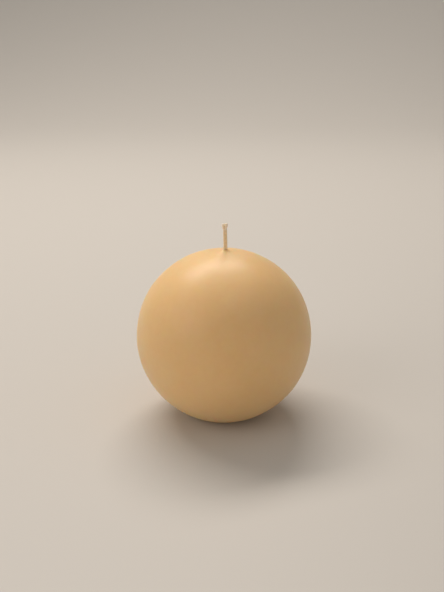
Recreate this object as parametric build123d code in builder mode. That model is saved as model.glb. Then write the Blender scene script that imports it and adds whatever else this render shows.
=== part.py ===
from build123d import *
import os
from math import cos, hypot, radians, sin, sqrt, tan

# Ball candle: a pressed wax ball levelled on a small flat foot, dipped in a skin of ivory wax, with a
# plaited cotton wick that runs down its axis into a stamped steel sustainer.
#
# From the inside out:
#   wick_bundle_1..3  three cotton bundles in a flat plait, their cut ends splayed into two lobes
#   wick_coat         hard priming wax round the plait, up to a little below its splayed end
#   wick_sustainer    steel disc and neck, the neck round at its root and crimped on the wick above
#   wax_core          pressed wax ball, with the wick's bore, the neck's socket and the disc's seat
#   overdip_shell     the skin. It laps the disc's rim, so it holds the sustainer in its seat, and
#                     it climbs the wick in a small collar. A window in its foot shows the disc.
#
# Frame: millimetres, +Z up, origin at the centre of the flat foot, -Y to the front. The plait's wide
# side faces the front. Every piece is symmetric about the Z axis except the plait and what grips it.

# ---------------------------------------------------------------- driving dimensions, mm
ball_diameter = 101.6  # finished ball, over the skin
foot_diameter = 35.0  # flat that the ball stands on, before its edge is softened
foot_edge_radius = 4.0  # the edge is blunt, so this takes under 1 mm off the flat

skin_thickness = 2.5  # dipped skin on the round
foot_skin = 1.2  # skin left under the core once the foot is levelled
window_edge_radius = 0.3
collar_height = 1.1  # how far the skin climbs the wick, from the top of the ball
collar_wall = 0.3  # at the corners of the coated wick
collar_rim_radius = 0.2
collar_root_radius = 0.75

core_edge_radius = 1.0

wick_stand = 16.4  # tip of the wick above the top of the ball
bundle_diameter = 0.66
bundle_gap = 0.02  # air between two bundles where they cross
plait_pitch = 6.5  # one bundle's full weave, from edge to edge and back
bare_length = 4.6  # end of the wick that the coat leaves bare
splay_length = 3.2  # end of the wick where the bundles part
tip_swell = 0.25  # how much a cut end stands out all round
notch_width = 0.5  # between the two lobes of the splayed end
lobe_step = 0.45  # the front end of the right lobe stands this much further out
tip_drop = 0.35  # the left end and the back one stand this much lower than the front one

coat_wall = 0.2
coat_clearance = 0.03  # between the plait and the coat's bore
coat_rim_radius = 0.08

disc_diameter = 20.0
sheet_thickness = 0.3  # of the sustainer's steel
disc_clearance = 0.2  # round the disc in its seat
lip_lap = 3.0  # how far the skin laps under the disc's rim
bead_width = 2.0  # stiffening ring pressed down into the disc
bead_depth = 0.3
bead_margin = 1.0  # between the bead and the window's edge
neck_root_radius = 0.4
neck_round_height = 1.6  # from the disc's top to where the neck starts to narrow
neck_shoulder_height = 1.4  # the stretch that narrows
crimp_height = 2.2  # the stretch that grips the wick
neck_clearance = 0.1  # round the coated wick below the shoulder
socket_clearance = 0.15  # round and above the neck in the core
bore_clearance = 0.2  # round the coated wick in the core

# ---------------------------------------------------------------- worked out from them
ball_radius = ball_diameter / 2
centre_height = sqrt(ball_radius**2 - (foot_diameter / 2) ** 2)
top_height = centre_height + ball_radius
core_radius = ball_radius - skin_thickness

bundle_radius = bundle_diameter / 2
bundle_spacing = bundle_diameter + bundle_gap
wick_top = top_height + wick_stand
coat_top = wick_top - bare_length
splay_height = wick_top - splay_length

disc_radius = disc_diameter / 2
seat_radius = disc_radius + disc_clearance
window_radius = disc_radius - lip_lap
bead_radius = window_radius - bead_margin - bead_width / 2
disc_bottom = foot_skin  # the disc lies on the inside of the foot's skin
disc_top = disc_bottom + sheet_thickness
shoulder_bottom = disc_top + neck_round_height
crimp_bottom = shoulder_bottom + neck_shoulder_height
neck_top = crimp_bottom + crimp_height

# ---------------------------------------------------------------- the plait
# Seen along the wick, each bundle traces a figure of eight with four corners, a third of a pitch
# behind its neighbour. A steeper plait is deeper, as the bundles need more room to pass each other.
weave_x = 0.88 * bundle_spacing
weave_y = bundle_spacing * (0.864 + 42 * (bundle_spacing / plait_pitch) ** 2)
weave_corners = (
    (60, weave_x, weave_y),
    (120, weave_x, -weave_y),
    (240, -weave_x, weave_y),
    (300, -weave_x, -weave_y),
)
start_angles = (270, 30, 150)  # where each bundle is in its figure of eight at the splay
first_corner_after = 20  # degrees of weave from the splay to the first corner, at the least
bend_share = 0.45  # part of a run that the bend at each of its ends may take


def plait_corners(start_angle):
    """Corners of one bundle's way through the plait, from the splay down past the wick's foot."""
    start = radians(start_angle)
    points = [(weave_x * sin(start), weave_y * cos(start) * sin(start), splay_height)]
    turns = 0
    while points[-1][2] > disc_bottom - plait_pitch / 2:
        for corner_angle, x, y in weave_corners:
            angle = corner_angle + 360 * turns - start_angle
            if angle > first_corner_after:
                points.append((x, y, splay_height - plait_pitch * angle / 360))
        turns += 1
    return points


def rounded_path(points):
    """Straight runs through the points, joined by the largest tangent arcs that the runs allow."""
    radii = []
    for before, corner, after in zip(points, points[1:], points[2:]):
        run_in = Vector(*corner) - Vector(*before)
        run_out = Vector(*after) - Vector(*corner)
        turn = radians(run_in.get_angle(run_out))
        radii.append(bend_share * min(run_in.length, run_out.length) / tan(turn / 2))
    return FilletPolyline(*points, radius=radii)


weave_box = rounded_path(plait_corners(start_angles[-1])).bounding_box()
bore_half_width = weave_box.max.X + bundle_radius + coat_clearance
bore_half_depth = weave_box.max.Y + bundle_radius + coat_clearance
coat_half_width = bore_half_width + coat_wall
coat_half_depth = bore_half_depth + coat_wall
coat_corner_radius = bundle_radius + coat_clearance + coat_wall  # a bundle lies in each corner
coat_reach = coat_corner_radius + hypot(
    coat_half_width - coat_corner_radius, coat_half_depth - coat_corner_radius
)

neck_bore_radius = coat_reach + neck_clearance
neck_radius = neck_bore_radius + sheet_thickness
socket_radius = neck_radius + socket_clearance
socket_top = neck_top + socket_clearance
bore_radius = coat_reach + bore_clearance
collar_radius = coat_reach + collar_wall


# ---------------------------------------------------------------- profiles that pieces share
def ball_section(radius, flat_height, edge_radius):
    """Half section of a ball cut flat at a height, with the edge of its flat rounded."""
    flat_radius = sqrt(radius**2 - (centre_height - flat_height) ** 2)
    pole = (0, centre_height + radius)
    with BuildSketch(Plane.XZ) as section:
        with BuildLine():
            ThreePointArc((flat_radius, flat_height), (radius, centre_height), pole)
            Polyline(pole, (0, flat_height), (flat_radius, flat_height))
        make_face()
        fillet(vertices().group_by(Axis.Y)[0].sort_by(Axis.X)[-1], edge_radius)
    return section.sketch


def coat_outline(height, growth=0.0):
    """Outline of the coated wick at a height, grown all round by a wall."""
    with BuildSketch(Plane.XY.offset(height)) as outline:
        RectangleRounded(
            2 * (coat_half_width + growth), 2 * (coat_half_depth + growth), coat_corner_radius + growth
        )
    return outline.sketch


def disc_seat():
    """Room for the sustainer's disc, between the core and the foot's skin."""
    with BuildSketch(Plane.XY.offset(disc_bottom)) as seat:
        Circle(seat_radius)
    return extrude(seat.sketch, amount=sheet_thickness)


os.makedirs("parts", exist_ok=True)

# ---------------------------------------------------------------- wax core
with BuildPart() as wax_core:
    revolve(ball_section(core_radius, foot_skin, core_edge_radius), axis=Axis.Z)
    add(disc_seat(), mode=Mode.SUBTRACT)
    with BuildSketch(Plane.XY.offset(disc_top)):
        Circle(socket_radius)
    extrude(amount=socket_top - disc_top, mode=Mode.SUBTRACT)
    # The socket's mouth clears the fillet at the root of the neck.
    socket_mouth = edges().filter_by_position(Axis.Z, disc_top, disc_top).sort_by(SortBy.RADIUS)[0]
    chamfer(socket_mouth, neck_root_radius)
    Hole(bore_radius)

wax_core.part.label = "wax_core"
export_step(wax_core.part, "parts/wax_core.step")

# ---------------------------------------------------------------- dipped skin
with BuildPart() as overdip_shell:
    with BuildSketch(Plane.XZ):
        add(ball_section(ball_radius, 0, foot_edge_radius))
        with Locations((0, top_height)):
            Rectangle(collar_radius, 2 * collar_height, align=(Align.MIN, Align.CENTER))
        # The collar's two corners are the nearest to the axis: its rim first, then its root.
        fillet(vertices().group_by(Axis.X)[1].sort_by(Axis.Y)[-1], collar_rim_radius)
        fillet(vertices().group_by(Axis.X)[2].sort_by(Axis.Y)[0], collar_root_radius)
    revolve(axis=Axis.Z)
    # Its inside is the core's outside and the disc's seat.
    revolve(ball_section(core_radius, foot_skin, core_edge_radius), axis=Axis.Z, mode=Mode.SUBTRACT)
    add(disc_seat(), mode=Mode.SUBTRACT)
    extrude(coat_outline(centre_height), amount=ball_diameter, mode=Mode.SUBTRACT)
    with BuildSketch():
        Circle(window_radius)
    extrude(amount=foot_skin, mode=Mode.SUBTRACT)
    fillet(edges().group_by(Axis.Z)[0].sort_by(SortBy.RADIUS)[0], window_edge_radius)

overdip_shell.part.label = "overdip_shell"
export_step(overdip_shell.part, "parts/overdip_shell.step")

# ---------------------------------------------------------------- sustainer
with BuildPart() as wick_sustainer:
    # Disc, bead and the round stretch of the neck, as one turned section of even thickness.
    bead_inside, bead_outside = bead_radius - bead_width / 2, bead_radius + bead_width / 2
    root_centre = neck_radius + neck_root_radius
    with BuildSketch(Plane.XZ):
        with BuildLine():
            Polyline((neck_radius, shoulder_bottom), (neck_bore_radius, shoulder_bottom),
                     (neck_bore_radius, disc_top + neck_root_radius))
            RadiusArc((neck_bore_radius, disc_top + neck_root_radius), (root_centre, disc_bottom),
                      -(neck_root_radius + sheet_thickness))
            Line((root_centre, disc_bottom), (bead_inside, disc_bottom))
            ThreePointArc((bead_inside, disc_bottom), (bead_radius, disc_bottom - bead_depth),
                          (bead_outside, disc_bottom))
            Polyline((bead_outside, disc_bottom), (disc_radius, disc_bottom), (disc_radius, disc_top),
                     (bead_outside, disc_top))
            ThreePointArc((bead_outside, disc_top), (bead_radius, disc_top - bead_depth),
                          (bead_inside, disc_top))
            Line((bead_inside, disc_top), (root_centre, disc_top))
            RadiusArc((root_centre, disc_top), (neck_radius, disc_top + neck_root_radius),
                      neck_root_radius)
            Line((neck_radius, disc_top + neck_root_radius), (neck_radius, shoulder_bottom))
        make_face()
    revolve(axis=Axis.Z)
    # Shoulder and crimp: the neck narrows from round to the outline of the coated wick.
    for mode, growth in ((Mode.ADD, sheet_thickness), (Mode.SUBTRACT, 0)):
        with BuildSketch(Plane.XY.offset(shoulder_bottom)) as shoulder_foot:
            Circle(neck_bore_radius + growth)
        loft([shoulder_foot.sketch, coat_outline(crimp_bottom, growth)], mode=mode)
        extrude(coat_outline(crimp_bottom, growth), amount=crimp_height, mode=mode)

wick_sustainer.part.label = "wick_sustainer"
export_step(wick_sustainer.part, "parts/wick_sustainer.step")

# ---------------------------------------------------------------- wick's coat
with BuildPart() as wick_coat:
    extrude(coat_outline(disc_bottom), amount=coat_top - disc_bottom)
    fillet(edges().group_by(Axis.Z)[-1], coat_rim_radius)
    extrude(coat_outline(disc_bottom, -coat_wall), amount=coat_top - disc_bottom, mode=Mode.SUBTRACT)

wick_coat.part.label = "wick_coat"
export_step(wick_coat.part, "parts/wick_coat.step")

# ---------------------------------------------------------------- wick's bundles
# The cut ends: one to the left, and two to the right, of which the front one stands further out.
tip_radius = bundle_radius + tip_swell
lobe_x = notch_width / 2 + tip_radius
right_y = tip_radius + bundle_gap / 2
tips = (
    (-lobe_x, 0, wick_top - tip_radius - tip_drop),
    (lobe_x, right_y, wick_top - tip_radius - tip_drop),
    (lobe_x + lobe_step, -right_y, wick_top - tip_radius),
)

for number, (start_angle, tip) in enumerate(zip(start_angles, tips), start=1):
    path = rounded_path([tip] + plait_corners(start_angle))
    with BuildPart() as wick_bundle:
        with BuildSketch(Plane(origin=path @ 0, z_dir=path % 0)):
            Circle(bundle_radius)
        sweep(path=path)
        split(bisect_by=Plane.XY.offset(disc_bottom), keep=Keep.TOP)
        with Locations(tip):
            Sphere(tip_radius)

    wick_bundle.part.label = f"wick_bundle_{number}"
    export_step(wick_bundle.part, f"parts/wick_bundle_{number}.step")
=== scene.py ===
"""Looks of a ball candle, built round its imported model.

The candle is a ball of wax levelled on a small foot, dipped in ivory wax, with a plaited cotton wick
that is waxed all over and a stamped steel sustainer in the foot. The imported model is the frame: the
places and main sizes come from its boxes, and what they can't say is a named field. Lengths are in
millimetres while a mesh is being shaped and in metres once it is a Blender object.
"""

import logging
import math
from dataclasses import dataclass, field
from enum import Enum
from typing import Any

import bpy
import numpy as np
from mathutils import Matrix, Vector


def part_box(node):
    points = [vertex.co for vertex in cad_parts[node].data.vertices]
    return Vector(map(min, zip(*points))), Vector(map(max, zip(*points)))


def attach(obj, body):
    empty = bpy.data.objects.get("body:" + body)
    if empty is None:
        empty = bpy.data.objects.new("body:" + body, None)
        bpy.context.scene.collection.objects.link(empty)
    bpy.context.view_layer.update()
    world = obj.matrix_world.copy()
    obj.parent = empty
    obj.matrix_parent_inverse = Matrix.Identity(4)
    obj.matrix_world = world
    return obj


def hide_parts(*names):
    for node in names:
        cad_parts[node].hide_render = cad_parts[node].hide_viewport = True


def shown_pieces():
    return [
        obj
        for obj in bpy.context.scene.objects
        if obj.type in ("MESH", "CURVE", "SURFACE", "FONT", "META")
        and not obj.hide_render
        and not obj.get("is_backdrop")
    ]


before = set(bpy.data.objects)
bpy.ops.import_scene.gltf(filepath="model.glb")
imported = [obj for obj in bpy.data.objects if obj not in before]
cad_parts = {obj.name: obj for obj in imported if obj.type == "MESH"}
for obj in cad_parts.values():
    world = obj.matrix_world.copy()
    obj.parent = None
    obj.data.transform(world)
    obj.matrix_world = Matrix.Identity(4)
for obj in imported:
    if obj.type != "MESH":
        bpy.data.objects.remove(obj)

LOG = logging.getLogger("ball_candle")
MM = 0.001
ROOT = "root"
WICK_STEP = 0.75  # how far to the right of the pole the wick comes out, in millimetres

Colour = tuple[float, float, float, float]
Mesh = tuple[np.ndarray, list[tuple[int, ...]]]


class Node(Enum):
    """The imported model's nodes."""

    SKIN = "overdip_shell"
    CORE = "wax_core"
    COAT = "wick_coat"
    LEFT_BUNDLE = "wick_bundle_1"
    BACK_BUNDLE = "wick_bundle_2"
    FRONT_BUNDLE = "wick_bundle_3"
    SUSTAINER = "wick_sustainer"


class Slot(Enum):
    """Names of two of the record's material slots; nothing in the script uses them."""

    IVORY = "ivory_wax"
    COTTON = "cotton"


# ---------------------------------------------------------------------------------------- small maths
def paint(red: int, green: int, blue: int) -> Colour:
    """Turns a screen colour into the linear one that shaders take.

    Args:
        red, green, blue: the colour as it should read on a screen, from 0 to 255.

    Returns:
        The linear colour, opaque.
    """
    linear = []
    for part in (red, green, blue):
        share = part / 255
        linear.append(share / 12.92 if share <= 0.04045 else ((share + 0.055) / 1.055) ** 2.4)
    return (*linear, 1.0)


def ease(value: np.ndarray | float, low: float, high: float) -> np.ndarray:
    """Rises smoothly from 0 at low to 1 at high."""
    share = np.clip((np.asarray(value, float) - low) / (high - low), 0.0, 1.0)
    return share * share * (3 - 2 * share)


def sidestep(height: np.ndarray, top: float) -> np.ndarray:
    """How far to the right the wick stands at a height: its whole step from just under the skin's top."""
    return WICK_STEP * ease(height, top - 4.0, top - 0.5)


def box_mm(node: Node) -> tuple[np.ndarray, np.ndarray]:
    """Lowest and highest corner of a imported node, in millimetres."""
    low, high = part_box(node.value)
    return np.array(low) / MM, np.array(high) / MM


@dataclass(frozen=True)
class Ripple:
    """Unevenness of a handmade surface, as a sum of plane waves in seeded directions."""

    seed: int
    shortest: float
    longest: float
    height: float
    waves: int = 28

    def at(self, points: np.ndarray) -> np.ndarray:
        """Height of the ripple at points.

        Args:
            points: array of points in millimetres, with x, y, z along its last axis.

        Returns:
            Heights in millimetres, about as large as self.height.
        """
        random = np.random.default_rng(self.seed)
        ways = random.normal(size=(self.waves, 3))
        ways /= np.linalg.norm(ways, axis=1)[:, None]
        lengths = random.uniform(self.shortest, self.longest, self.waves)
        starts = random.uniform(0, 2 * math.pi, self.waves)
        total = np.zeros(points.shape[:-1])
        for way, length, start in zip(ways, lengths, starts):
            total += np.sin(points @ way * (2 * math.pi / length) + start)
        return self.height * total / math.sqrt(self.waves / 2)


# ------------------------------------------------------------------------------------- mesh building
def net(rings: np.ndarray) -> Mesh:
    """Closed surface through rings of points, the last ring joined to the first.

    Args:
        rings: array of rings, points round each ring, and x, y, z.

    Returns:
        Its points and four-sided faces.
    """
    count, sides = rings.shape[:2]
    faces = []
    for row in range(count):
        below = (row + 1) % count
        for side in range(sides):
            beside = (side + 1) % sides
            high, low = row * sides, below * sides
            faces.append((high + side, high + beside, low + beside, low + side))
    return rings.reshape(-1, 3), faces


def tube(path: np.ndarray, radii: np.ndarray, sides: int) -> Mesh:
    """Round tube along a path that runs mostly upwards, closed at both ends.

    Args:
        path: points along its middle.
        radii: its radius at each of them.
        sides: points round it.

    Returns:
        Its points and faces.
    """
    along = np.gradient(path, axis=0)
    along /= np.linalg.norm(along, axis=1)[:, None]
    across = np.cross(along, (0.0, 1.0, 0.0))
    across /= np.linalg.norm(across, axis=1)[:, None]
    over = np.cross(across, along)
    turn = np.linspace(0, 2 * math.pi, sides, endpoint=False)
    around = np.cos(turn)[None, :, None] * across[:, None] + np.sin(turn)[None, :, None] * over[:, None]
    points = (path[:, None] + around * radii[:, None, None]).reshape(-1, 3)
    faces = []
    for row in range(len(path) - 1):
        for side in range(sides):
            beside = (side + 1) % sides
            low, high = row * sides, (row + 1) * sides
            faces.append((low + side, low + beside, high + beside, high + side))
    faces.append(tuple(reversed(range(sides))))
    faces.append(tuple(range(len(points) - sides, len(points))))
    return points, faces


def join(parts: list[Mesh]) -> Mesh:
    """Several meshes as one."""
    points, faces, start = [], [], 0
    for part_points, part_faces in parts:
        points.append(part_points)
        faces.extend(tuple(index + start for index in face) for face in part_faces)
        start += len(part_points)
    return np.concatenate(points), faces


def object_from(name: str, mesh: Mesh, scale: float = 1.0) -> bpy.types.Object:
    """Makes a Blender object, with its faces outwards.

    Args:
        name: the object's name.
        mesh: its points and faces.
        scale: what each point is multiplied by.

    Returns:
        The object, linked to the scene.
    """
    points, faces = mesh
    data = bpy.data.meshes.new(name)
    data.from_pydata((points * scale).tolist(), [], faces)
    data.validate()
    data.calc_loop_triangles()
    corners = np.empty(len(data.loop_triangles) * 3, np.int32)
    data.loop_triangles.foreach_get("vertices", corners)
    a, b, c = (points[corners.reshape(-1, 3)[:, i]] for i in range(3))
    if np.einsum("ij,ij->", a, np.cross(b, c)) < 0:
        data.flip_normals()
    data.shade_smooth()
    made = bpy.data.objects.new(name, data)
    bpy.context.scene.collection.objects.link(made)
    return made


def fuse(mesh: Mesh, voxel: float, passes: int) -> Mesh:
    """Melts overlapping meshes into one skin.

    Args:
        mesh: the points and faces, in millimetres.
        voxel: size of the grid that they are melted on, in millimetres.
        passes: how often the result is smoothed.

    Returns:
        The fused points and faces.
    """
    rough = object_from("fusing", mesh)
    melt = rough.modifiers.new("melt", "REMESH")
    melt.mode = "VOXEL"
    melt.voxel_size = voxel
    soften = rough.modifiers.new("soften", "SMOOTH")
    soften.factor = 0.5
    soften.iterations = passes
    graph = bpy.context.evaluated_depsgraph_get()
    data = bpy.data.meshes.new_from_object(rough.evaluated_get(graph))
    points = np.empty(len(data.vertices) * 3)
    data.vertices.foreach_get("co", points)
    faces = [tuple(polygon.vertices) for polygon in data.polygons]
    bpy.data.objects.remove(rough)
    bpy.data.meshes.remove(data)
    return points.reshape(-1, 3), faces


# ------------------------------------------------------------------------------------ shader writing
class Value:
    """One output of a shader node, which arithmetic may be done with."""

    def __init__(self, shader: "Shader", socket: bpy.types.NodeSocket) -> None:
        """Keeps the socket and the shader that it belongs to."""
        self.shader = shader
        self.socket = socket

    def _math(self, operation: str, first: "Value | float", second: "Value | float") -> "Value":
        """Adds a Math node for one operation."""
        made = self.shader.node("ShaderNodeMath", {"operation": operation}, {0: first, 1: second})
        return Value(self.shader, made.outputs[0])

    def __add__(self, other: "Value | float") -> "Value":
        """self + other."""
        return self._math("ADD", self, other)

    def __radd__(self, other: float) -> "Value":
        """other + self."""
        return self._math("ADD", other, self)

    def __rsub__(self, other: float) -> "Value":
        """other - self."""
        return self._math("SUBTRACT", other, self)

    def __mul__(self, other: "Value | float") -> "Value":
        """self * other."""
        return self._math("MULTIPLY", self, other)

    def clamped(self, low: float, high: float) -> "Value":
        """Runs from 0 to 1 as self runs from low to high, smoothly."""
        made = self.shader.node(
            "ShaderNodeMapRange",
            {"interpolation_type": "SMOOTHSTEP"},
            {"Value": self, "From Min": low, "From Max": high},
        )
        return Value(self.shader, made.outputs["Result"])


class Shader:
    """A material's node tree, ending in one Principled surface."""

    def __init__(self, name: str) -> None:
        """Makes an empty material of that name."""
        self.material = bpy.data.materials.new(name)
        self.material.use_nodes = True
        self.tree = self.material.node_tree
        self.tree.nodes.clear()

    def node(
        self, kind: str, settings: dict[str, Any] | None = None, sockets: dict[str | int, Any] | None = None
    ) -> bpy.types.Node:
        """Adds one node.

        Args:
            kind: Blender's name for the node type.
            settings: its properties, set before its sockets.
            sockets: values or links for its inputs, by name or number.

        Returns:
            The node.
        """
        made = self.tree.nodes.new(kind)
        for key, value in (settings or {}).items():
            setattr(made, key, value)
        for key, value in (sockets or {}).items():
            if isinstance(value, Value):
                self.tree.links.new(value.socket, made.inputs[key])
            else:
                made.inputs[key].default_value = value
        return made

    def place(self) -> Value:
        """Where a point lies on the object, in metres."""
        return Value(self, self.node("ShaderNodeTexCoord").outputs["Object"])

    def stretched(self, place: Value, factors: tuple[float, float, float]) -> Value:
        """A place with each axis multiplied."""
        made = self.node("ShaderNodeVectorMath", {"operation": "MULTIPLY"}, {0: place, 1: factors})
        return Value(self, made.outputs[0])

    def axis(self, place: Value, name: str) -> Value:
        """One coordinate of a place, X, Y or Z."""
        return Value(self, self.node("ShaderNodeSeparateXYZ", None, {0: place}).outputs[name])

    def noise(self, place: Value, size: float, detail: float = 2.0, rough: float = 0.5) -> Value:
        """Cloudy noise.

        Args:
            place: where it is read.
            size: distance between its clouds, in metres.
            detail: how many finer layers it has.
            rough: how strong the finer layers are.

        Returns:
            A value about 0.5.
        """
        sockets = {"Vector": place, "Scale": 1 / size, "Detail": detail, "Roughness": rough}
        return Value(self, self.node("ShaderNodeTexNoise", None, sockets).outputs["Fac"])

    def cells(self, place: Value, size: float) -> Value:
        """Distance to the nearest of scattered points, as a share of their spacing."""
        made = self.node("ShaderNodeTexVoronoi", None, {"Vector": place, "Scale": 1 / size})
        return Value(self, made.outputs["Distance"])

    def blend(self, share: Value, first: Colour | Value, second: Colour | Value) -> Value:
        """A colour from first, where share is 0, to second, where it is 1."""
        made = self.node("ShaderNodeMix", {"data_type": "RGBA"}, {0: share, 6: first, 7: second})
        return Value(self, made.outputs[2])

    def relief(
        self, height: Value, distance: float, strength: float = 1.0, under: Value | None = None
    ) -> Value:
        """Turns a height into a normal.

        Args:
            height: the height, where 1 is a whole distance up.
            distance: that distance, in metres.
            strength: how much of it counts.
            under: a normal that this one adds to.

        Returns:
            The normal.
        """
        sockets = {"Height": height, "Distance": distance, "Strength": strength}
        if under is not None:
            sockets["Normal"] = under
        return Value(self, self.node("ShaderNodeBump", None, sockets).outputs[0])

    def surface(self, sockets: dict[str, Any]) -> bpy.types.Material:
        """Ends the tree in a Principled surface with these inputs, and returns the material."""
        made = self.node("ShaderNodeBsdfPrincipled", None, sockets)
        output = self.node("ShaderNodeOutputMaterial")
        self.tree.links.new(made.outputs[0], output.inputs["Surface"])
        return self.material


# ------------------------------------------------------------------------------------------ finishes
@dataclass(frozen=True)
class DippedWax:
    """Ivory dipping wax: satin, slightly translucent, faintly mottled, with a few pinholes, each dented and
    painted darker as painted shade.
    """

    name: str = "dipped_wax"
    light: Colour = paint(241, 203, 148)
    deep: Colour = paint(236, 195, 137)
    roughness: float = 0.4
    glow_depth: float = 0.001

    def material(self) -> bpy.types.Material:
        """Builds the material."""
        shader = Shader(self.name)
        place = shader.place()
        clouds = shader.noise(place, 0.035, 3.0)
        specks = shader.noise(place, 0.004, 4.0, 0.6)
        tint = (clouds * 0.7 + specks * 0.3).clamped(0.2, 0.8)
        pinhole_dents_and_shade = 1 - shader.cells(place, 0.006).clamped(0.012, 0.03)
        wiped = shader.stretched(place, (1.0, 1.0, 2.2))
        handling = shader.noise(wiped, 0.018, 5.0, 0.65).clamped(0.42, 0.75)
        skin = shader.blend(tint, self.light, self.deep)
        # Painted shade: the pinholes are painted halfway to a dark tan, standing in for shade inside them;
        # their dent is in the normal below.
        colour = shader.blend(pinhole_dents_and_shade * 0.5, skin, paint(190, 146, 92))
        grain = shader.noise(place, 0.0012, 3.0) * 0.6 + shader.noise(place, 0.0035, 2.0)
        waves = shader.relief(grain, 0.00002)
        return shader.surface(
            {
                "Base Color": colour,
                "Roughness": self.roughness + handling * 0.1,
                "Normal": shader.relief(1 - pinhole_dents_and_shade, 0.00008, 0.6, waves),
                "Subsurface Weight": 1.0,
                "Subsurface Radius": (1.0, 0.55, 0.28),
                "Subsurface Scale": self.glow_depth,
                "IOR": 1.44,
            }
        )


@dataclass(frozen=True)
class WaxedCotton:
    """Plaited cotton soaked in priming wax, paler and drier towards its cut end, with painted shade in the
    hollows between its fibres.
    """

    name: str = "waxed_cotton"
    waxed: Colour = paint(248, 222, 182)
    dry: Colour = paint(254, 235, 212)
    # painted shade: the darker tan given to the hollows between fibres
    fibre_hollow_shade: Colour = paint(228, 194, 148)
    tip_height: float = 0.115
    tip_length: float = 0.006

    def material(self) -> bpy.types.Material:
        """Builds the material."""
        shader = Shader(self.name)
        place = shader.place()
        fibres = shader.noise(shader.stretched(place, (1.0, 1.0, 0.16)), 0.00016, 3.0, 0.6)
        wax = shader.noise(place, 0.0011, 3.0)
        wet_height, dry_height = self.tip_height - self.tip_length, self.tip_height - 0.001
        dryness = shader.axis(place, "Z").clamped(wet_height, dry_height)
        pale = (dryness * 0.8 + wax * 0.35).clamped(0.1, 0.95)
        cover = shader.blend(pale, self.waxed, self.dry)
        # Painted shade: where the fibre noise is low, in the hollows between fibres, the colour is pulled
        # towards a darker tan.
        colour = shader.blend((1 - fibres).clamped(0.5, 0.8) * 0.45, cover, self.fibre_hollow_shade)
        return shader.surface(
            {
                "Base Color": colour,
                "Roughness": 0.42 + dryness * 0.25,
                "Normal": shader.relief(fibres, 0.00005, 0.6),
                "Subsurface Weight": 0.3,
                "Subsurface Radius": (1.0, 0.7, 0.5),
                "Subsurface Scale": 0.0003,
                "IOR": 1.44,
            }
        )


@dataclass(frozen=True)
class PressedWax:
    """The core's pressed granules: matt, off-white, with the grain boundaries just showing."""

    name: str = "pressed_wax"
    grain: Colour = paint(242, 232, 214)
    seam: Colour = paint(222, 206, 178)

    def material(self) -> bpy.types.Material:
        """Builds the material."""
        shader = Shader(self.name)
        place = shader.place()
        granules = shader.cells(place, 0.0022)
        edges = granules.clamped(0.35, 0.75)
        return shader.surface(
            {
                "Base Color": shader.blend(edges, self.grain, self.seam),
                "Roughness": 0.6 + shader.noise(place, 0.003) * 0.2,
                "Normal": shader.relief(1 - edges, 0.0002, 0.7),
                "Subsurface Weight": 0.5,
                "Subsurface Radius": (1.0, 0.7, 0.5),
                "Subsurface Scale": 0.002,
            }
        )


@dataclass(frozen=True)
class TinnedSteel:
    """Stamped tinplate: bright, rolled along X, with light scuffs and a film of wax in places."""

    name: str = "tinned_steel"
    tin: Colour = paint(214, 212, 206)
    dull: Colour = paint(176, 172, 164)

    def material(self) -> bpy.types.Material:
        """Builds the material."""
        shader = Shader(self.name)
        place = shader.place()
        rolling = shader.noise(shader.stretched(place, (0.08, 1.0, 1.0)), 0.0002, 4.0, 0.6)
        stains = shader.noise(place, 0.004, 4.0, 0.6).clamped(0.45, 0.7)
        return shader.surface(
            {
                "Base Color": shader.blend(stains * 0.7, self.tin, self.dull),
                "Metallic": 1.0,
                "Roughness": 0.24 + rolling * 0.14 + stains * 0.16,
                "Normal": shader.relief(rolling, 0.00001, 0.6),
            }
        )


@dataclass(frozen=True)
class PaleFloor:
    """Plain matt floor and backdrop."""

    name: str = "pale_floor"
    colour: Colour = paint(202, 197, 190)

    def material(self) -> bpy.types.Material:
        """Builds the material."""
        shader = Shader(self.name)
        tone = shader.noise(shader.place(), 0.4, 2.0)
        shade = shader.blend(tone * 0.06, self.colour, paint(190, 182, 172))
        return shader.surface({"Base Color": shade, "Roughness": 0.55})


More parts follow.
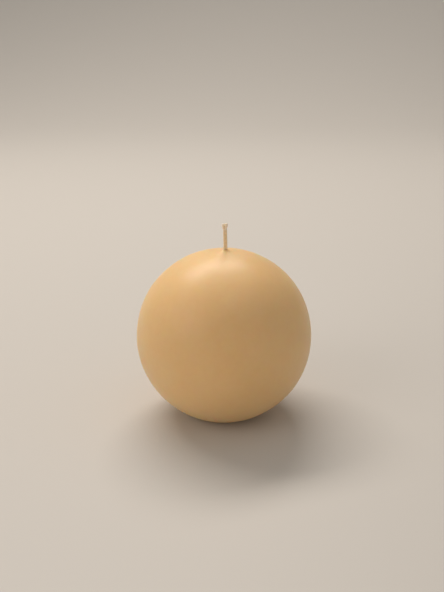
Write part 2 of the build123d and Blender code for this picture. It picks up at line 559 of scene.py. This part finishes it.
# ------------------------------------------------------------------------------------------ the parts
@dataclass
class DippedSkin:
    """The ivory skin: a levelled ball that climbs its wick in a meniscus, with a window in its foot."""

    sides: int = 320
    climb: float = 1.1  # how high the wax climbs the wick
    climb_unevenness: float = 0.22
    climb_spread: float = 1.2  # how quickly the climb dies away from the wick
    climb_reach: float = 9.0
    hold: float = 0.12  # how far the skin closes on the wick's own wax
    window_radius: float = 7.0
    window_edge: float = 0.3
    window_unevenness: float = 0.14
    lip: float = 0.22  # wax squeezed out round the levelled foot
    lip_width: float = 0.8
    lip_offset: float = 0.2  # outside the foot's edge
    round_end: float = 2.6  # outside the foot's edge, where the plain ball ends
    turn_start: float = 2.3  # outside the foot's edge, where the ball starts to turn into the flat
    turn_end: float = 1.8  # inside it, where that turn is done
    turn_softness: float = 0.14
    most_swell: float = 0.14  # the unevenness is kept this far under the ball's own round
    dips: Ripple = field(default_factory=lambda: Ripple(seed=11, shortest=26, longest=70, height=0.09))
    dimples: Ripple = field(default_factory=lambda: Ripple(seed=12, shortest=6, longest=13, height=0.006))

    def __post_init__(self) -> None:
        """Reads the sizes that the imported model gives."""
        skin_low, skin_high = box_mm(Node.SKIN)
        core_low, core_high = box_mm(Node.CORE)
        coat_low, coat_high = box_mm(Node.COAT)
        self.radius = (skin_high[0] - skin_low[0]) / 2
        self.core_radius = (core_high[0] - core_low[0]) / 2
        self.centre = core_high[2] - self.core_radius
        self.foot_skin = core_low[2]
        self.foot_radius = math.sqrt(self.radius**2 - self.centre**2)
        self.wick_half = (coat_high[:2] - coat_low[:2]) / 2
        self.turn = np.linspace(0, 2 * math.pi, self.sides, endpoint=False)

    def wick_outline(self) -> np.ndarray:
        """Distance from the wick's middle to its surface, round the wick."""
        squareness = 3.0
        across = np.abs(np.cos(self.turn)) / (self.wick_half[0] - self.hold)
        along = np.abs(np.sin(self.turn)) / (self.wick_half[1] - self.hold)
        return (across**squareness + along**squareness) ** (-1 / squareness)

    def round_wave(self, seed: int, slowest: int, fastest: int) -> np.ndarray:
        """A wave round the axis that closes on itself, about 1 high."""
        random = np.random.default_rng(seed)
        total = np.zeros(self.sides)
        for count in range(slowest, fastest + 1):
            total += random.normal() * np.cos(count * self.turn + random.uniform(0, 2 * math.pi))
        return total / np.abs(total).max()

    def ring(self, radius: np.ndarray | float, height: np.ndarray | float) -> np.ndarray:
        """One ring of points at a radius and a height, which may both change round it."""
        radius = np.broadcast_to(radius, self.turn.shape)
        height = np.broadcast_to(height, self.turn.shape)
        return np.stack([radius * np.cos(self.turn), radius * np.sin(self.turn), height], axis=-1)

    def crown(self) -> list[np.ndarray]:
        """Rings from the wax that clings to the wick out to the round of the ball."""
        hole = self.wick_outline()
        climb = self.climb + self.climb_unevenness * self.round_wave(3, 1, 4)
        rings = []
        crowding = 3.6  # the rings lie closer together near the wick
        for share in np.linspace(0, 1, 36):
            away = self.climb_reach * math.expm1(crowding * share) / math.expm1(crowding)
            round_share = ease(away, 0.0, 5.0)
            radius = (hole * (1 - round_share) + hole.mean() * round_share) + away
            height = self.centre + np.sqrt(self.radius**2 - radius**2)
            rings.append(self.ring(radius, height + climb * math.exp(-away / self.climb_spread)))
        return rings

    def round(self) -> list[np.ndarray]:
        """Rings over the ball, from the crown to just above the foot."""
        first = math.asin((self.wick_outline().mean() + self.climb_reach) / self.radius)
        last = math.pi - math.asin((self.foot_radius + self.round_end) / self.radius)
        rings = []
        for angle in np.linspace(first, last, 136)[1:]:
            height = self.centre + self.radius * math.cos(angle)
            rings.append(self.ring(self.radius * math.sin(angle), height))
        return rings

    def foot(self) -> list[np.ndarray]:
        """Rings over the foot's edge, its flat, and the edge of the window."""
        soft = self.turn_softness
        squeeze = self.lip * (0.6 + 0.4 * self.round_wave(5, 1, 7))
        rings = []
        inner = self.foot_radius - self.turn_end
        for base in np.linspace(self.foot_radius + self.turn_start, inner, 16):
            drop = (self.centre - math.sqrt(self.radius**2 - base**2)) / soft
            height = soft * math.log1p(math.exp(min(drop, 60.0)))
            from_lip = (base - self.foot_radius - self.lip_offset) / self.lip_width
            rings.append(self.ring(base + squeeze * math.exp(-(from_lip**2)), height))
        window = self.window_radius + self.window_unevenness * self.round_wave(7, 1, 9)
        for share in np.linspace(0, 1, 9)[1:]:
            rings.append(self.ring(inner + (window + self.window_edge - inner) * share, 0.0))
        for angle in np.linspace(0, math.pi / 2, 6)[1:]:
            edge = self.window_edge
            height = edge * (1 - math.cos(angle))
            rings.append(self.ring(window + edge * (1 - math.sin(angle)), height))
        return rings

    def inside(self) -> list[np.ndarray]:
        """Rings from the window up the inside of the skin, against the core, to the wick's hole."""
        hole = self.wick_outline()
        shoulder = math.sqrt(self.core_radius**2 - (self.centre - self.foot_skin) ** 2)
        rings = [self.ring(self.window_radius, self.foot_skin), self.ring(shoulder - 0.6, self.foot_skin)]
        first = math.pi - math.asin((shoulder + 0.3) / self.core_radius)
        last = math.asin((hole.mean() + 1.0) / self.core_radius)
        for angle in np.linspace(first, last, 60):
            height = self.centre + self.core_radius * math.cos(angle)
            rings.append(self.ring(self.core_radius * math.sin(angle), height))
        rings.append(self.ring(hole, self.centre + np.sqrt(self.core_radius**2 - hole**2)))
        rings.append(self.ring(hole, self.centre + self.radius))
        return rings

    def build(self) -> bpy.types.Object:
        """Makes the skin's mesh.

        Returns:
            The skin, in place.
        """
        outer = np.array(self.crown() + self.round())
        outward = outer - np.array((0, 0, self.centre))
        outward /= np.linalg.norm(outward, axis=-1, keepdims=True)
        from_axis = np.linalg.norm(outer[..., :2], axis=-1)
        # The unevenness fades out towards the wick and the foot.
        free = ease(from_axis, 1.5, 9.0) * ease(outer[..., 2], 1.0, 14.0)
        swell = np.minimum(self.dips.at(outer), self.most_swell) + self.dimples.at(outer)
        outer = outer + outward * (free * (swell - self.most_swell))[..., None]
        rings = np.concatenate([outer, np.array(self.foot() + self.inside())])
        near = 1 - ease(np.linalg.norm(rings[..., :2], axis=-1), 1.6, 10.0)
        rings[..., 0] += near * sidestep(rings[..., 2], self.centre + self.radius)
        return object_from("dipped_skin", net(rings), MM)

    def dress(self, skin: bpy.types.Object) -> None:
        """Gives the skin its wax, and its place in the frame."""
        skin.data.materials.append(DippedWax().material())
        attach(skin, ROOT)
        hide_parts(Node.SKIN.value)


@dataclass
class PlaitedWick:
    """Three bundles of cotton yarn in a flat plait, waxed, with two splayed lobes at the cut end."""

    pitch: float = 6.5
    splay_length: float = 3.9
    yarns: int = 6  # round the middle one of each bundle
    yarn_radius: float = 0.16
    yarn_circle: float = 0.27
    yarn_pitch: float = 5.5
    lean: float = 0.022  # sideways over upwards, to the left
    groove_depth: float = 0.2
    groove_width: float = 0.2
    groove_offset: float = 0.1
    wax_film: float = 0.03
    left_inset: float = 0.42  # middle of a lobe, inwards from its packed bundle's side
    back_inset: float = 0.9
    front_inset: float = 1.05
    back_depth: float = 0.4  # middle of a lobe, backwards from the axis
    front_depth: float = -0.35
    lobe_length: float = 4.2
    lobe_swell: float = 0.75  # how much wider a bundle's yarns lie in its lobe
    yarn_swell: float = 0.5
    filler_places: tuple[float, float] = (-0.42, 0.46)  # x of the wax cores inside the plait
    filler_girth: float = 0.62  # their radius, as a share of the wick's half depth

    def __post_init__(self) -> None:
        """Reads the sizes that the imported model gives."""
        coat_low, coat_high = box_mm(Node.COAT)
        left_low, left_high = box_mm(Node.LEFT_BUNDLE)
        back_high = box_mm(Node.BACK_BUNDLE)[1]
        front_high = box_mm(Node.FRONT_BUNDLE)[1]
        self.half_width, self.half_depth = (coat_high[:2] - coat_low[:2]) / 2
        self.bottom = coat_low[2]
        self.top = front_high[2]
        self.splay = self.top - self.splay_length
        self.collar = box_mm(Node.SKIN)[1][2]  # top of the skin where it clings to the wick
        bundle = self.yarn_circle + self.yarn_radius + self.wax_film
        self.weave_x = self.half_width - bundle
        self.weave_y = self.half_depth - bundle
        # Where each bundle is in its weave at the splay, and the middle of its lobe.
        self.bundles = (
            (270.0, (left_low[0] + self.left_inset, 0.0), left_high[2]),
            (30.0, (back_high[0] - self.back_inset, self.back_depth), back_high[2]),
            (150.0, (front_high[0] - self.front_inset, self.front_depth), front_high[2]),
        )

    def middle(self, start: float, lobe: tuple[float, float], height: np.ndarray) -> np.ndarray:
        """Middle of one bundle, woven below the splay and running to its lobe above it.

        Args:
            start: where it is in its weave at the splay, in degrees.
            lobe: x and y of the middle of its lobe.
            height: heights to give it at.

        Returns:
            Its points.
        """
        turn = np.radians(start + 360 * (self.splay - height) / self.pitch)
        woven = np.stack([self.weave_x * np.sin(turn), self.weave_y * np.sin(2 * turn)], axis=-1)
        share = ease(height, self.splay - 0.5, self.top - 1.0)[:, None]
        parting = ease(height, self.splay - 1.6, self.splay + 1.0)[:, None]
        root = np.array([self.weave_x * math.sin(math.radians(start)), lobe[1] * 0.8])
        free = root * (1 - share) + np.array(lobe) * share
        return np.concatenate([woven * (1 - parting) + free * parting, height[:, None]], axis=-1)

    def strands(self, low: float, high: float, step: float) -> list[Mesh]:
        """All yarns between two heights, as tubes."""
        random = np.random.default_rng(21)
        to_the_tip = high >= self.top
        made = []
        for start, lobe, end in self.bundles:
            end = min(end, high)
            for yarn in range(self.yarns + 1):
                reach = end - 0.12 - 0.25 * random.uniform() if to_the_tip else end
                height = np.arange(low, reach, step)
                path = self.middle(start, lobe, height)
                swell = ease(height, self.splay + 0.4, self.top - 0.9)
                turn = 2 * math.pi * (yarn / self.yarns + height / self.yarn_pitch)
                if yarn < self.yarns:
                    tip = np.clip((height - end + 0.8) / 0.8, 0, 1)
                    circle = self.yarn_circle * (1 + self.lobe_swell * swell) * np.sqrt(1 - 0.85 * tip**2)
                    path[:, 0] += circle * np.cos(turn)
                    path[:, 1] += circle * np.sin(turn)
                radii = self.yarn_radius * (1 + self.yarn_swell * swell)
                if to_the_tip:
                    radii = radii * np.sqrt(np.clip((reach - height) / 0.35, 0.04, 1.0))
                made.append(tube(path, radii, 10))
        return made

    def wax(self, low: float, high: float) -> list[Mesh]:
        """Wax that fills the plait's hollows: a core all the way up, and a drop in each lobe."""
        height = np.arange(low, min(high, self.splay + 1.4), 0.15)
        core = np.stack([np.zeros_like(height), np.zeros_like(height), height], axis=-1)
        fade = 1 - 0.7 * ease(height, self.splay - 0.4, self.splay + 1.4)
        girth = self.filler_girth * self.half_depth * fade
        made = [tube(core + (side, 0, 0), girth, 16) for side in self.filler_places]
        if high >= self.top:
            for start, lobe, end in self.bundles:
                rise = np.linspace(end - self.lobe_length, end - 0.05, 44)
                girth = 0.4 + 0.4 * ease(rise, end - 4.0, end - 1.2)
                dome = np.sqrt(1 - np.clip((rise - end + 0.74) / 0.7, 0, 0.995) ** 2)
                made.append(tube(self.middle(start, lobe, rise), girth * dome, 18))
        return made

    def shape(self, points: np.ndarray) -> np.ndarray:
        """Presses in the groove between the plait's two rows and leans the free end."""
        x, y, z = points.T.copy()
        stem = 1 - ease(z, self.splay - 0.6, self.splay + 0.9)
        depth = self.groove_depth * np.exp(-(((x - self.groove_offset) / self.groove_width) ** 2)) * stem
        y -= np.sign(y) * depth * ease(np.abs(y), 0.25, 0.7)
        x += sidestep(z, self.collar) - self.lean * np.maximum(z - self.collar, 0)
        return np.stack([x, y, z], axis=-1)

    def build(self) -> list[bpy.types.Object]:
        """Makes the wick in two lengths, the one that stands free being the finer."""
        joint = self.collar - 3.0
        made = []
        for name, low, high, voxel, passes in (
            ("waxed_wick", joint - 1.0, self.top, 0.06, 5),
            ("wick_in_bore", self.bottom, joint, 0.11, 3),
        ):
            strands = join(self.strands(low, high, 0.12) + self.wax(low, high))
            points, faces = fuse(strands, voxel, passes)
            points[:, 2] = np.clip(points[:, 2], self.bottom, self.top)
            made.append(object_from(name, (self.shape(points), faces), MM))
        return made

    def dress(self, lengths: list[bpy.types.Object]) -> None:
        """Gives the wick its waxed cotton, and its place in the frame."""
        cotton = WaxedCotton(tip_height=self.top * MM).material()
        for length in lengths:
            length.data.materials.append(cotton)
            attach(length, ROOT)
        bundles = (Node.LEFT_BUNDLE.value, Node.BACK_BUNDLE.value, Node.FRONT_BUNDLE.value)
        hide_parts(Node.COAT.value, *bundles)


@dataclass
class KeptNodes:
    """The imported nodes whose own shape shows: the core and the sustainer."""

    def dress(self) -> None:
        """Gives each of them its finish."""
        for node, finish in ((Node.CORE, PressedWax()), (Node.SUSTAINER, TinnedSteel())):
            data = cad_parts[node.value].data
            data.materials.clear()
            data.materials.append(finish.material())


@dataclass
class Studio:
    """Plain floor, soft lamps and the camera."""

    camera_distance: float = 0.496
    camera_elevation: float = 22.6
    camera_pitch: float = 20.0
    camera_aside: float = -0.0012
    floor_drop: float = 0.0001  # keeps the floor out of the foot's own plane
    focal_share: float = 850 / 592  # focal length over the picture's long side

    def floor(self) -> None:
        """A floor that curves up into a backdrop."""
        half, front, back, curve, rise = 8.0, -12.0, 2.2, 1.2, 3.0
        rows = [(front, 0.0), (back - curve, 0.0)]
        for angle in np.linspace(0, math.pi / 2, 24)[1:]:
            rows.append((back - curve + curve * math.sin(angle), curve - curve * math.cos(angle)))
        rows.append((back, rise))
        points = np.array([(x, y, z - self.floor_drop) for y, z in rows for x in (-half, half)])
        faces = [(2 * i, 2 * i + 1, 2 * i + 3, 2 * i + 2) for i in range(len(rows) - 1)]
        data = bpy.data.meshes.new("floor")
        data.from_pydata(points.tolist(), [], faces)
        data.shade_smooth()
        data.materials.append(PaleFloor().material())
        floor = bpy.data.objects.new("floor", data)
        bpy.context.scene.collection.objects.link(floor)
        floor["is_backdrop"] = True

    def lamp(
        self,
        name: str,
        at: tuple[float, float, float],
        to: Vector,
        size: tuple[float, float],
        watts: float,
        tint: Colour,
    ) -> None:
        """One rectangular soft lamp.

        Args:
            name: its name.
            at: where it hangs.
            to: what it points at.
            size: its width and height, in metres.
            watts: its power.
            tint: its colour.
        """
        data = bpy.data.lights.new(name, "AREA")
        data.shape = "RECTANGLE"
        data.size, data.size_y = size
        data.energy = watts
        data.color = tint[:3]
        lamp = bpy.data.objects.new(name, data)
        lamp.location = at
        lamp.rotation_euler = (to - Vector(at)).to_track_quat("-Z", "Y").to_euler()
        bpy.context.scene.collection.objects.link(lamp)

    def lamps(self, middle: Vector) -> None:
        """A long lamp above and behind to the left, a weak fill from the left, and an even sky."""
        key_tint, fill_tint = (1.0, 0.93, 0.86, 1.0), (1.0, 0.94, 0.87, 1.0)
        self.lamp("key", (-0.3, 0.75, 1.25), middle, (1.4, 0.35), 16.5, key_tint)
        self.lamp("fill", (-1.1, -0.8, 0.8), middle, (0.9, 0.9), 4.0, fill_tint)
        world = bpy.data.worlds.new("sky")
        world.use_nodes = True
        background = world.node_tree.nodes["Background"]
        background.inputs["Color"].default_value = (1.0, 0.97, 0.93, 1.0)
        background.inputs["Strength"].default_value = 0.42
        bpy.context.scene.world = world

    def camera(self, middle: Vector) -> None:
        """The camera, in front and a little above."""
        data = bpy.data.cameras.new("camera")
        data.sensor_width = 36.0
        data.lens = data.sensor_width * self.focal_share
        data.clip_start, data.clip_end = 0.01, 20.0
        camera = bpy.data.objects.new("camera", data)
        rise = math.radians(self.camera_elevation)
        away = self.camera_distance * math.cos(rise)
        up = self.camera_distance * math.sin(rise)
        camera.location = middle + Vector((self.camera_aside, -away, up))
        camera.rotation_euler = (math.radians(90 - self.camera_pitch), 0.0, 0.0)
        bpy.context.scene.collection.objects.link(camera)
        bpy.context.scene.camera = camera

    def build(self, middle: Vector) -> None:
        """Builds the whole studio round the middle of the ball."""
        self.floor()
        self.lamps(middle)
        self.camera(middle)
        bpy.context.scene.view_settings.view_transform = "Standard"


def main() -> None:
    """Builds the candle and its studio."""
    logging.basicConfig(level=logging.INFO, format="%(name)s: %(message)s")
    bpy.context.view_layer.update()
    skin = DippedSkin()
    Studio().build(Vector((0.0, 0.0, skin.centre * MM)))
    skin_piece = skin.build()
    skin.dress(skin_piece)
    wick = PlaitedWick()
    lengths = wick.build()
    wick.dress(lengths)
    KeptNodes().dress()
    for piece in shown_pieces():
        LOG.info("%s has %d faces", piece.name, len(piece.data.polygons))


if __name__ == "__main__":
    main()
